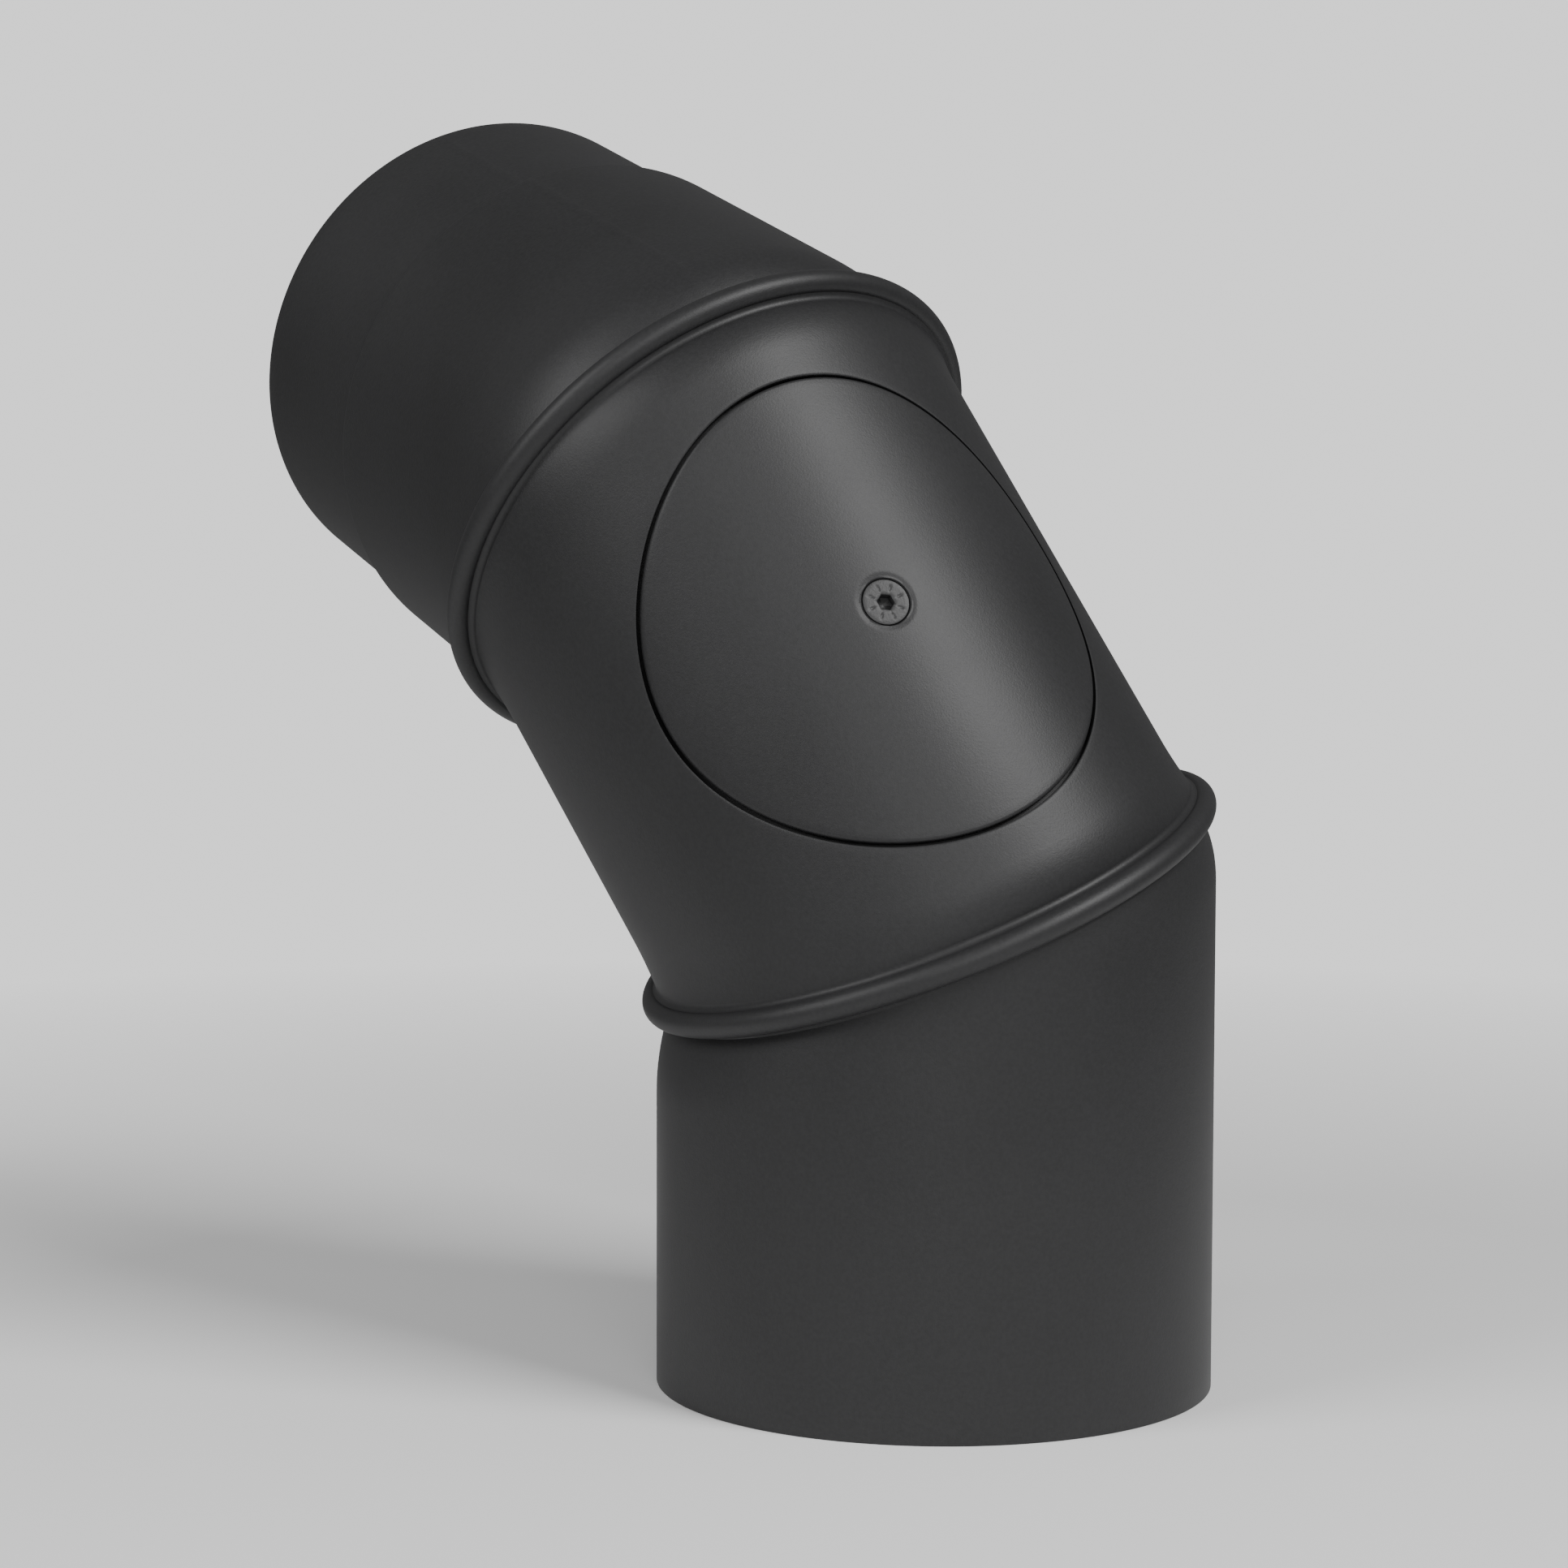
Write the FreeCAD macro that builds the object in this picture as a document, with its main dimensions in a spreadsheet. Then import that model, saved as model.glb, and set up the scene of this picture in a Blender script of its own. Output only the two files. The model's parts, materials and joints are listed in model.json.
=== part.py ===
"""Swivelling flue elbow, nominal bore 150 mm, with an inspection cover.

Three rolled-steel tube segments meet in two mitred swivel joints. Each joint is a round
neck whose flange runs inside the rolled bead at the end of the middle segment. The middle
segment carries a flush curved cover over its heel, held by one countersunk screw, a weld
nut and a clamp bar behind the opening. The model is in millimetres, +Z up, with its origin
at the centre of the lower segment's bottom rim.
"""
import FreeCAD, Part
import math
import os
import Sketcher
from FreeCAD import Placement, Rotation, Vector

doc = FreeCAD.newDocument("flue_elbow")

# Driving dimensions, in millimetres, degrees or counts.
SIZES = [
    # tube segments
    ("sheet", 2),                   # steel thickness
    ("tube_radius", 77),            # outside of the 150 mm bore tube
    ("mitre_angle", 22.5),          # between a tube axis and the normal of its joint
    ("lower_length", 133.4),        # bottom rim to the lower joint plane, along the axis
    ("socket_depth", 60),           # true round bore that takes the next pipe's spigot
    ("middle_length", 130.4),       # joint plane to joint plane, along the axis
    ("upper_body", 76.5),           # upper joint plane to the start of the step
    ("step_length", 8),             # length of the swaged step
    ("upper_length", 140.2),        # upper joint plane to the spigot's end
    ("spigot_radius", 74),          # outside of the reduced end
    ("lower_turn", -87.3),          # how far each swivel is turned from the flat elbow
    ("upper_turn", 1),
    # swivel joints, measured along the joint normal from the joint plane
    ("joint_offset", 2),            # from the tube's axis to the collar's, towards the toe
    ("neck_radius", 78.5),          # outside of the round collar
    ("neck_start", 20),             # where the oval mitre starts to turn round
    ("collar_start", 3),            # where the necks of the outer segments are round
    ("flange_low", 1),
    ("flange_high", 3),
    ("flange_radius", 81.4),
    ("bead_radius", 84),
    ("bead_back", 5.6),
    ("bead_front", 1.6),
    ("bead_round", 3.2),
    ("lip_clearance", 0.5),
    # inspection opening, its cover and its seat, as half-widths across and along the tube
    ("cover_height", 66),           # lower joint plane to the screw, along the axis
    ("cover_across", 59.5),
    ("cover_along", 65),
    ("cover_gap", 1),
    ("weld_flange", 7.5),           # seat flange outside the opening
    ("seat_riser", 3.5),            # joggle just outside the opening
    ("seat_overlap", 0.5),          # by which its flange, riser and lap run into each other
    ("seat_lap", 8.5),              # seat inside the opening
    ("seat_drop", 1.6),             # depth of the seat's face under the tube's inner wall
    ("gasket", 1.2),
    ("gasket_inset", 1),
    ("gasket_width", 5.5),
    ("weld_gap", 0.05),
    # countersunk screw, cup pressed into the cover, retaining washer
    ("screw_recess", 0.6),
    ("head_radius", 6.3),
    ("head_rim", 0.4),
    ("shank_radius", 2.95),
    ("screw_length", 20),
    ("tip_chamfer", 0.6),
    ("hex_key", 4),
    ("hex_depth", 2.3),
    ("cup_clearance", 0.15),
    ("cup_wall", 1.5),
    ("cup_flare", 2.25),            # its wall's width where it leaves the cover
    ("washer_radius", 6),
    ("washer_thickness", 0.5),
    ("washer_gap", 0.4),
    ("washer_clearance", 0.02),     # round the shank
    # clamp bar and weld nut
    ("bar_width", 25),
    ("bar_thickness", 4),
    ("bar_half_length", 71),
    ("bar_clearance", 0.5),
    ("bar_corner", 6),
    ("lug_width", 16),
    ("lug_start", 51),
    ("lug_end", 55),
    ("lug_height", 3),
    ("thread_clearance", 0.08),
    ("bar_hole", 3.4),
    ("nut_width", 10),
    ("nut_height", 5),
]

NECK_STEPS = 5                      # sections of a neck's loft, less one
OVERRUN = 20                        # how far cutting tools run past what they cut
REACH = 300                         # side of a block larger than any segment
ALIASES = {alias for alias, value in SIZES}

sheet = doc.addObject("Spreadsheet::Sheet", "sizes")
for row, (alias, value) in enumerate(SIZES, start=1):
    sheet.set(f"A{row}", alias)
    sheet.set(f"B{row}", str(value))
    sheet.setAlias(f"B{row}", alias)
doc.recompute()


def size(expression):
    """The present value of an expression in the sheet's aliases."""
    value = sheet.evalExpression(expression)
    return float(getattr(value, "Value", value))


def bind(item, **expressions):
    """Bind properties of a document object to expressions in the sheet's aliases."""
    for name, expression in expressions.items():
        item.setExpression(name, on_sheet(expression))
    return item


def on_sheet(expression):
    """Prefix each alias in an expression with the sheet's name."""
    words = []
    word = ""
    for letter in expression + " ":
        if letter.isalnum() or letter in "_.":
            word += letter
            continue
        words.append("sizes." + word if word in ALIASES else word)
        words.append(letter)
        word = ""
    return "".join(words).strip()


def turn(axis, degrees):
    return Placement(Vector(0, 0, 0), Rotation(axis, degrees))


def shift(x, y, z):
    return Placement(Vector(x, y, z), Rotation())


X_AXIS = Vector(1, 0, 0)
Y_AXIS = Vector(0, 1, 0)
Z_AXIS = Vector(0, 0, 1)

# Frames. An axis frame has Z along its tube and X towards its heel, the outside of the
# bend. An end frame has its origin at the centre of the collar and Z along the joint
# normal, pointing out of the segment, so a segment lies on the -Z side of its end frames.
mitre = turn(Y_AXIS, -size("mitre_angle"))
flip = turn(X_AXIS, 180)
into_collar = mitre.multiply(shift(-size("joint_offset"), 0, 0))
out_of_collar = shift(size("joint_offset"), 0, 0).multiply(mitre)
lower_axis = Placement()
lower_end = shift(0, 0, size("lower_length")).multiply(into_collar)
lower_swivel = lower_end.multiply(turn(Z_AXIS, size("lower_turn")))
middle_low_end = lower_swivel.multiply(flip)
middle_axis = lower_swivel.multiply(out_of_collar)
middle_top = middle_axis.multiply(shift(0, 0, size("middle_length")))
middle_high_end = middle_top.multiply(into_collar)
upper_swivel = middle_high_end.multiply(turn(Z_AXIS, size("upper_turn")))
upper_end = upper_swivel.multiply(flip)
upper_axis = upper_swivel.multiply(out_of_collar)
# The cover frame has Z out of the tube's heel, through the screw, and Y across the tube.
cover_frame = middle_axis.multiply(shift(0, 0, size("cover_height"))).multiply(turn(Y_AXIS, 90))


# ---- Part primitives and booleans -------------------------------------------------------

def cylinder(name, frame, radius, low, high):
    """A cylinder about a frame's Z, its radius and its two ends given as expressions."""
    item = doc.addObject("Part::Cylinder", name)
    bind(item, Radius=radius, Height=f"({high}) - ({low})")
    item.Placement = frame.multiply(shift(0, 0, size(low))).multiply(turn(Z_AXIS, 180))
    return item


def cone(name, frame, low_radius, high_radius, low, high):
    item = doc.addObject("Part::Cone", name)
    bind(item, Radius1=low_radius, Radius2=high_radius, Height=f"({high}) - ({low})")
    item.Placement = frame.multiply(shift(0, 0, size(low)))
    return item


def fuse(name, *items):
    item = doc.addObject("Part::MultiFuse", name)
    item.Shapes = list(items)
    return item


def cut(name, base, tool):
    item = doc.addObject("Part::Cut", name)
    item.Base = base
    item.Tool = tool
    return item


def common(name, base, tool):
    item = doc.addObject("Part::Common", name)
    item.Base = base
    item.Tool = tool
    return item


def beyond_mitre(name, end):
    """A block over everything past the plane where a tube's neck starts."""
    item = doc.addObject("Part::Box", name)
    item.Length = REACH
    item.Width = REACH
    item.Height = REACH
    item.Placement = end.multiply(shift(-REACH / 2, -REACH / 2, -size("neck_start")))
    return item


def neck_section(name, end, inset, finish, share):
    """A neck's outline: the tube's oval mitre at share 0, its round collar at share 1."""
    blend = share * share
    oval = f"(tube_radius - {inset}) * (1 - {blend})"
    ring = f"(neck_radius - {inset}) * {blend}"
    item = doc.addObject("Part::Ellipse", name)
    bind(item, MajorRadius=f"{oval} / cos(mitre_angle) + {ring}",
         MinorRadius=f"{oval} + {ring}")
    start = size("neck_start")
    stop = size(finish)
    height = -start + share * (start - stop)
    slope = math.tan(math.radians(size("mitre_angle")))
    centre = size("joint_offset") * (1 - blend) + (height + blend * stop) * slope
    item.Placement = end.multiply(shift(centre, 0, height))
    return item


def loft(name, sections, ruled):
    item = doc.addObject("Part::Loft", name)
    item.Sections = sections
    item.Solid = True
    item.Ruled = ruled
    return item


def neck(name, end, inset, finish):
    """Loft from the tube's oval mitre section to a round collar at -finish."""
    sections = [neck_section(f"{name}_section_{step}", end, inset, finish, step / NECK_STEPS)
                for step in range(NECK_STEPS + 1)]
    return loft(name, sections, False)


def formed_bore(name, axis, end, low):
    """The lower tube's inside: a true round socket, then the length formed to the mitre."""
    socket = cylinder(f"{name}_socket", axis, "tube_radius - sheet", low, "socket_depth")
    ring = doc.addObject("Part::Ellipse", f"{name}_ring")
    bind(ring, MajorRadius="tube_radius - sheet", MinorRadius="tube_radius - sheet")
    ring.Placement = axis.multiply(shift(0, 0, size("socket_depth")))
    oval = neck_section(f"{name}_oval", end, "sheet", "collar_start", 0)
    return fuse(name, socket, loft(f"{name}_formed", [ring, oval], True))


def prism(name, across, along):
    """A bar of elliptical section along the cover's normal, from the tube's axis outwards."""
    outline = doc.addObject("Part::Ellipse", f"{name}_outline")
    bind(outline, MajorRadius=along, MinorRadius=across)
    outline.Placement = cover_frame
    item = doc.addObject("Part::Extrusion", name)
    item.Base = outline
    item.DirMode = "Custom"
    item.Dir = cover_frame.Rotation.multVec(Z_AXIS)
    bind(item, LengthFwd="2 * tube_radius")
    item.Solid = True
    return item


def curved_band(name, inner, outer, across, along, width):
    """A band of the middle tube's curve, between two radii and two ellipses."""
    low = "-tube_radius"
    high = "middle_length + tube_radius"
    tube = cut(f"{name}_tube", cylinder(f"{name}_outside", middle_axis, outer, low, high),
               cylinder(f"{name}_inside", middle_axis, inner, low, high))
    outline = prism(f"{name}_prism", across, along)
    if width is not None:
        hole = prism(f"{name}_hole", f"{across} - {width}", f"{along} - {width}")
        outline = cut(f"{name}_outline_ring", outline, hole)
    return common(name, tube, outline)


# ---- PartDesign helpers -----------------------------------------------------------------

def new_body(name, frame):
    body = doc.addObject("PartDesign::Body", name)
    body.Placement = frame
    return body


def origin_plane(body, role):
    return next(item for item in body.Origin.OriginFeatures if item.Role == role)


def polygon_sketch(body, name, role, loops, height=None):
    """A sketch of closed polygons, every corner bound to a pair of expressions."""
    sketch = body.newObject("Sketcher::SketchObject", name)
    sketch.AttachmentSupport = [(origin_plane(body, role), "")]
    sketch.MapMode = "FlatFace"
    if height is not None:
        sketch.setExpression("AttachmentOffset.Base.z", on_sheet(height))
    for corners in loops:
        first = sketch.GeometryCount
        spots = [Vector(size(x), size(y), 0) for x, y in corners]
        for start, stop in zip(spots, spots[1:] + spots[:1]):
            sketch.addGeometry(Part.LineSegment(start, stop))
        for index, (x, y) in enumerate(corners):
            line = first + index
            before = first + (index - 1) % len(corners)
            sketch.addConstraint(Sketcher.Constraint("Coincident", before, 2, line, 1))
            pin_corner(sketch, line, "DistanceX", x, -2)
            pin_corner(sketch, line, "DistanceY", y, -1)
    return sketch


def pin_corner(sketch, line, kind, expression, axis):
    """Hold one coordinate of a line's first point: on an axis, or at a bound distance."""
    value = size(expression)
    if abs(value) < 1e-9:
        sketch.addConstraint(Sketcher.Constraint("PointOnObject", line, 1, axis))
        return
    number = sketch.addConstraint(Sketcher.Constraint(kind, -1, 1, line, 1, value))
    sketch.setExpression(f"Constraints[{number}]", on_sheet(expression))


def revolved(body, sketch):
    """Revolve a sketch of the body's XZ plane once round the body's Z."""
    item = body.newObject("PartDesign::Revolution", "revolution")
    item.Profile = sketch
    item.ReferenceAxis = (sketch, ["V_Axis"])
    item.Angle = 360
    doc.recompute()
    return item


def padded(body, name, sketch, length):
    item = body.newObject("PartDesign::Pad", name)
    item.Profile = sketch
    bind(item, Length=length)
    doc.recompute()
    return item


def pocketed(body, name, sketch, depth, upwards=False):
    """Cut a pocket down from its sketch, or upwards, and make sure that it cut."""
    before = body.Shape.Volume
    item = body.newObject("PartDesign::Pocket", name)
    item.Profile = sketch
    item.Reversed = upwards
    bind(item, Length=depth)
    doc.recompute()
    if body.Shape.Volume >= before:
        raise RuntimeError(f"{name} cuts nothing")
    return item


def filleted(body, name, base, edges, radius):
    item = body.newObject("PartDesign::Fillet", name)
    item.Base = (base, edges)
    bind(item, Radius=radius)
    doc.recompute()
    return item


def hexagon(width):
    """Corners of a hexagon of the given width across flats."""
    return [(f"{width} / 2 / cos(30) * cos({60 * side})",
             f"{width} / 2 / cos(30) * sin({60 * side})") for side in range(6)]


def rectangle(x_low, x_high, y_half):
    return [(x_low, f"-({y_half})"), (x_high, f"-({y_half})"), (x_high, y_half),
            (x_low, y_half)]


# ---- Tube segments ----------------------------------------------------------------------

def straight_tube(name, axis, low, high, ends, inset):
    """A filled tube, cut off where its necks start, drawn in from its skin by inset.

    It is drawn past each joint plane, because its heel side is the longer one.
    """
    tube = cylinder(f"{name}_tube", axis, f"tube_radius - {inset}", low, high)
    blocks = [beyond_mitre(f"{name}_beyond_{number}", end) for number, end in enumerate(ends)]
    trim = blocks[0] if len(blocks) == 1 else fuse(f"{name}_beyond", *blocks)
    return cut(f"{name}_trimmed", tube, trim)


def with_necks(name, tube, ends, inset, finish, collar_stop):
    """A filled tube joined to the necks and collars at its mitred ends."""
    pieces = [tube]
    for number, end in enumerate(ends):
        pieces.append(neck(f"{name}_neck_{number}", end, inset, finish))
        pieces.append(cylinder(f"{name}_collar_{number}", end, f"neck_radius - {inset}",
                               f"-{finish}", collar_stop))
    return fuse(name, *pieces)


def outer_segment(name, end, tube, bore):
    """A lower or upper tube: its collar ends in the flange that runs in the bead."""
    skin = with_necks(f"{name}_skin", tube, [end], "0", "collar_start", "flange_high")
    core = with_necks(f"{name}_core", bore, [end], "sheet", "collar_start",
                      f"flange_high + {OVERRUN}")
    flange = cylinder(f"{name}_flange", end, "flange_radius", "flange_low", "flange_high")
    return fuse(f"{name}_solid", skin, flange), core


def bead(name, end):
    """The rolled channel that holds a neighbour's flange."""
    body = new_body(name, end)
    wall = "bead_radius - sheet"
    back = "-(bead_back - sheet)"
    front = "bead_front - sheet"
    lip = "neck_radius + lip_clearance"
    profile = [("neck_radius - sheet", "-bead_back"), ("bead_radius", "-bead_back"),
               ("bead_radius", "bead_front"), (lip, "bead_front"), (lip, front),
               (wall, front), (wall, back), ("neck_radius - sheet", back)]
    ring = revolved(body, polygon_sketch(body, "channel", "XZ_Plane", [profile]))
    rim = []
    for number, edge in enumerate(ring.Shape.Edges, start=1):
        curve = edge.Curve
        if isinstance(curve, Part.Circle) and abs(curve.Radius - size("bead_radius")) < 1e-6:
            rim.append(f"Edge{number}")
    filleted(body, "bead_roll", ring, rim, "bead_round")
    return body


def make_lower_segment():
    tube = straight_tube("lower_outside", lower_axis, "0", "lower_length + tube_radius",
                         [lower_end], "0")
    bore = formed_bore("lower_bore", lower_axis, lower_end, f"-{OVERRUN}")
    solid, core = outer_segment("lower", lower_end, tube, bore)
    return cut("lower_segment", solid, core)


def make_middle_segment():
    ends = [middle_low_end, middle_high_end]
    low = "-tube_radius"
    high = "middle_length + tube_radius"
    tube = straight_tube("middle_outside", middle_axis, low, high, ends, "0")
    bore = straight_tube("middle_bore", middle_axis, low, high, ends, "sheet")
    skin = with_necks("middle_skin", tube, ends, "0", "bead_back", "-(bead_back - sheet)")
    core = with_necks("middle_core", bore, ends, "sheet", "bead_back", "0")
    wall = cut("middle_wall", skin, core)
    beads = [bead(f"bead_{number}", end) for number, end in enumerate(ends)]
    closed = fuse("middle_closed", wall, *beads)
    opening = prism("inspection_opening", "cover_across + cover_gap",
                    "cover_along + cover_gap")
    return cut("middle_segment", closed, opening)


def make_upper_segment():
    """The upper tube, swaged down to a spigot that fits inside the next tube."""
    tube = straight_tube("upper_outside", upper_axis, "-tube_radius", "upper_body",
                         [upper_end], "0")
    bore = straight_tube("upper_bore", upper_axis, "-tube_radius", "upper_body",
                         [upper_end], "sheet")
    solid, core = outer_segment("upper", upper_end, tube, bore)
    step_top = "upper_body + step_length"
    step = cone("upper_step", upper_axis, "tube_radius", "spigot_radius", "upper_body",
                step_top)
    spigot = cylinder("upper_spigot", upper_axis, "spigot_radius", step_top, "upper_length")
    step_core = cone("upper_step_core", upper_axis, "tube_radius - sheet",
                     "spigot_radius - sheet", "upper_body", step_top)
    spigot_core = cylinder("upper_spigot_core", upper_axis, "spigot_radius - sheet",
                           step_top, f"upper_length + {OVERRUN}")
    outside = fuse("upper_solid_stepped", solid, step, spigot)
    inside = fuse("upper_core_stepped", core, step_core, spigot_core)
    return cut("upper_segment", outside, inside)


# ---- Inspection cover, gasket and seat --------------------------------------------------

def make_seat_ring():
    """A joggled ring tacked inside the opening: flange, riser and the lap under the cover."""
    across = "cover_across + cover_gap"
    along = "cover_along + cover_gap"
    face = "tube_radius - sheet - seat_drop"
    top = "tube_radius - sheet - weld_gap"
    lap = curved_band("seat_lap_band", f"{face} - sheet", face, f"{across} + seat_riser",
                      f"{along} + seat_riser", "(seat_riser + seat_lap)")
    riser = curved_band("seat_riser_band", f"{face} - sheet", top, f"{across} + seat_riser",
                        f"{along} + seat_riser", "(seat_riser - seat_overlap)")
    flange = curved_band("seat_flange_band", f"{top} - sheet", top,
                         f"{across} + weld_flange", f"{along} + weld_flange",
                         "(weld_flange - seat_overlap)")
    return fuse("seat_ring", lap, riser, flange)


def make_cover_gasket():
    top = "tube_radius - sheet - weld_gap"
    return curved_band("cover_gasket", f"{top} - gasket", top, "cover_across - gasket_inset",
                       "cover_along - gasket_inset", "gasket_width")


HEAD_TOP = "tube_radius - screw_recess"
CONE_TOP = f"{HEAD_TOP} - head_rim"
CONE_DEPTH = "(head_radius - shank_radius)"
CUP_BOTTOM = f"{CONE_TOP} - {CONE_DEPTH} - cup_wall"
WASHER_TOP = f"{CUP_BOTTOM} - washer_gap"
# The bar is straight, so it meets the seat's curved inner face along its two long edges.
SEAT_INNER = "(tube_radius - 2 * sheet - seat_drop)"
BAR_TOP = f"sqrt({SEAT_INNER} ^ 2 - (bar_width / 2) ^ 2) - bar_clearance"


def make_inspection_cover():
    """A disc of the tube's curve with a cup pressed in for the countersunk head."""
    disc = curved_band("cover_disc", "tube_radius - sheet", "tube_radius", "cover_across",
                       "cover_along", None)
    cup = cone("cover_cup", cover_frame, "shank_radius + cup_wall",
               "head_radius + cup_flare", CUP_BOTTOM, "tube_radius - sheet / 2")
    seat = cone("cup_seat", cover_frame, "shank_radius + cup_clearance",
                "head_radius + cup_clearance", f"{CONE_TOP} - {CONE_DEPTH}", CONE_TOP)
    mouth = cylinder("cup_mouth", cover_frame, "head_radius + cup_clearance", CONE_TOP,
                     "tube_radius + sheet")
    hole = cylinder("cup_hole", cover_frame, "shank_radius + cup_clearance",
                    f"{CUP_BOTTOM} - sheet", CONE_TOP)
    return cut("inspection_cover", fuse("cover_pressing", disc, cup),
               fuse("cup_inside", seat, mouth, hole))


# ---- Screw, washer, clamp bar and nut ---------------------------------------------------

def make_cover_screw():
    """A countersunk screw with a hexagon socket; its thread is left plain."""
    body = new_body("cover_screw", cover_frame)
    tip = f"{HEAD_TOP} - screw_length"
    profile = [("0", HEAD_TOP), ("head_radius", HEAD_TOP), ("head_radius", CONE_TOP),
               ("shank_radius", f"{CONE_TOP} - {CONE_DEPTH}"),
               ("shank_radius", f"{tip} + tip_chamfer"), ("shank_radius - tip_chamfer", tip),
               ("0", tip)]
    revolved(body, polygon_sketch(body, "screw_profile", "XZ_Plane", [profile]))
    socket = polygon_sketch(body, "socket", "XY_Plane", [hexagon("hex_key")], HEAD_TOP)
    pocketed(body, "hex_socket", socket, "hex_depth")
    return body


def make_screw_retainer():
    """A push-on washer that keeps the screw in the cover when the cover is off."""
    body = new_body("screw_retainer", cover_frame)
    bore = "shank_radius + washer_clearance"
    low = f"{WASHER_TOP} - washer_thickness"
    profile = [(bore, low), ("washer_radius", low), ("washer_radius", WASHER_TOP),
               (bore, WASHER_TOP)]
    revolved(body, polygon_sketch(body, "washer_profile", "XZ_Plane", [profile]))
    return body


def make_clamp_bar():
    """A flat bar along the tube that pulls the cover down; its lugs sit in the seat."""
    body = new_body("clamp_bar", cover_frame)
    low = f"{BAR_TOP} - bar_thickness"
    outline = rectangle("-bar_half_length", "bar_half_length", "bar_width / 2")
    bar = padded(body, "bar", polygon_sketch(body, "bar_outline", "XY_Plane", [outline], low),
                 "bar_thickness")
    corners = []
    for number, edge in enumerate(bar.Shape.Edges, start=1):
        start, stop = (vertex.Point for vertex in edge.Vertexes)
        if abs(start.z - stop.z) > size("bar_thickness") / 2:
            corners.append(f"Edge{number}")
    filleted(body, "bar_corners", bar, corners, "bar_corner")
    lugs = [rectangle("lug_start", "lug_end", "lug_width / 2"),
            rectangle("-lug_end", "-lug_start", "lug_width / 2")]
    # The lugs start inside the bar, so that they join it.
    padded(body, "lugs", polygon_sketch(body, "lug_outlines", "XY_Plane", lugs,
                                        f"{BAR_TOP} - bar_thickness / 2"),
           "bar_thickness / 2 + lug_height")
    hole = polygon_sketch(body, "hole_place", "XY_Plane", [], f"{BAR_TOP}")
    hole.addGeometry(Part.Circle(Vector(0, 0, 0), Z_AXIS, size("bar_hole")))
    hole.addConstraint(Sketcher.Constraint("Coincident", 0, 3, -1, 1))
    number = hole.addConstraint(Sketcher.Constraint("Radius", 0, size("bar_hole")))
    hole.setExpression(f"Constraints[{number}]", on_sheet("bar_hole"))
    pocketed(body, "bar_bore", hole, f"bar_thickness + {OVERRUN}")
    return body


def make_clamp_nut():
    """A hexagon weld nut on the bar's inner face; its thread is left plain."""
    body = new_body("clamp_nut", cover_frame)
    low = f"{BAR_TOP} - bar_thickness - nut_height"
    padded(body, "nut", polygon_sketch(body, "nut_outline", "XY_Plane",
                                       [hexagon("nut_width")], low), "nut_height")
    bore = polygon_sketch(body, "nut_bore_place", "XY_Plane", [], f"{low} + nut_height")
    radius = "shank_radius + thread_clearance"
    bore.addGeometry(Part.Circle(Vector(0, 0, 0), Z_AXIS, size(radius)))
    bore.addConstraint(Sketcher.Constraint("Coincident", 0, 3, -1, 1))
    number = bore.addConstraint(Sketcher.Constraint("Radius", 0, size(radius)))
    bore.setExpression(f"Constraints[{number}]", on_sheet(radius))
    pocketed(body, "nut_bore", bore, f"nut_height + {OVERRUN}")
    return body


def check_document():
    for item in doc.Objects:
        if "Invalid" in item.State or "Error" in item.State:
            raise RuntimeError(f"{item.Name} did not compute: {item.State}")


def export(parts):
    os.makedirs("parts", exist_ok=True)
    for item in parts:
        shape = item.Shape
        if shape.isNull() or not shape.isValid() or not shape.Solids:
            raise RuntimeError(f"{item.Label} has no valid solid")
        shape.exportStep(f"parts/{item.Label}.step")
        print(f"{item.Label}: {len(shape.Solids)} solid, {shape.Volume / 1000:.2f} cm3")


def main():
    makers = [make_lower_segment, make_middle_segment, make_upper_segment, make_seat_ring,
              make_inspection_cover, make_cover_gasket, make_cover_screw,
              make_screw_retainer, make_clamp_bar, make_clamp_nut]
    parts = [maker() for maker in makers]
    doc.recompute()
    check_document()
    for item, maker in zip(parts, makers):
        item.Label = maker.__name__.removeprefix("make_")
    export(parts)


main()
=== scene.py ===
"""Looks of the swivelling flue elbow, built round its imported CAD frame, in metres."""
import json
import math

import bpy
import numpy as np
from mathutils import Matrix, Vector


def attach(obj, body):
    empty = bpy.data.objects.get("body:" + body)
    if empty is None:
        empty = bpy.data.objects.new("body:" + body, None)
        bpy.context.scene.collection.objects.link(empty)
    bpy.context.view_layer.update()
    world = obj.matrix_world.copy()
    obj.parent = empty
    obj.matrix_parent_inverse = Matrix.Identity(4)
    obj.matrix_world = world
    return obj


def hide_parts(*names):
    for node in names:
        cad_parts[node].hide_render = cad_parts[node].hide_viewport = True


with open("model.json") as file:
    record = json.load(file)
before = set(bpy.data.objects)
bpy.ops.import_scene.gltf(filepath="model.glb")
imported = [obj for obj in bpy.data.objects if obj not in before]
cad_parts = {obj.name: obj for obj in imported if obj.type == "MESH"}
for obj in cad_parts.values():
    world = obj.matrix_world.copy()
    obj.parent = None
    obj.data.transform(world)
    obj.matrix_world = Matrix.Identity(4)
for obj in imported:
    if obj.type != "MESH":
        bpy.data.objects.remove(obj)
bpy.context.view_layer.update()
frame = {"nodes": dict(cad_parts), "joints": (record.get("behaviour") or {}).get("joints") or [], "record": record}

MM = 0.001
JOINTS = {joint["name"]: joint for joint in frame["joints"]}
MOUNTS = {mount["name"]: mount for mount in frame["record"]["mounts"]}

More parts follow.
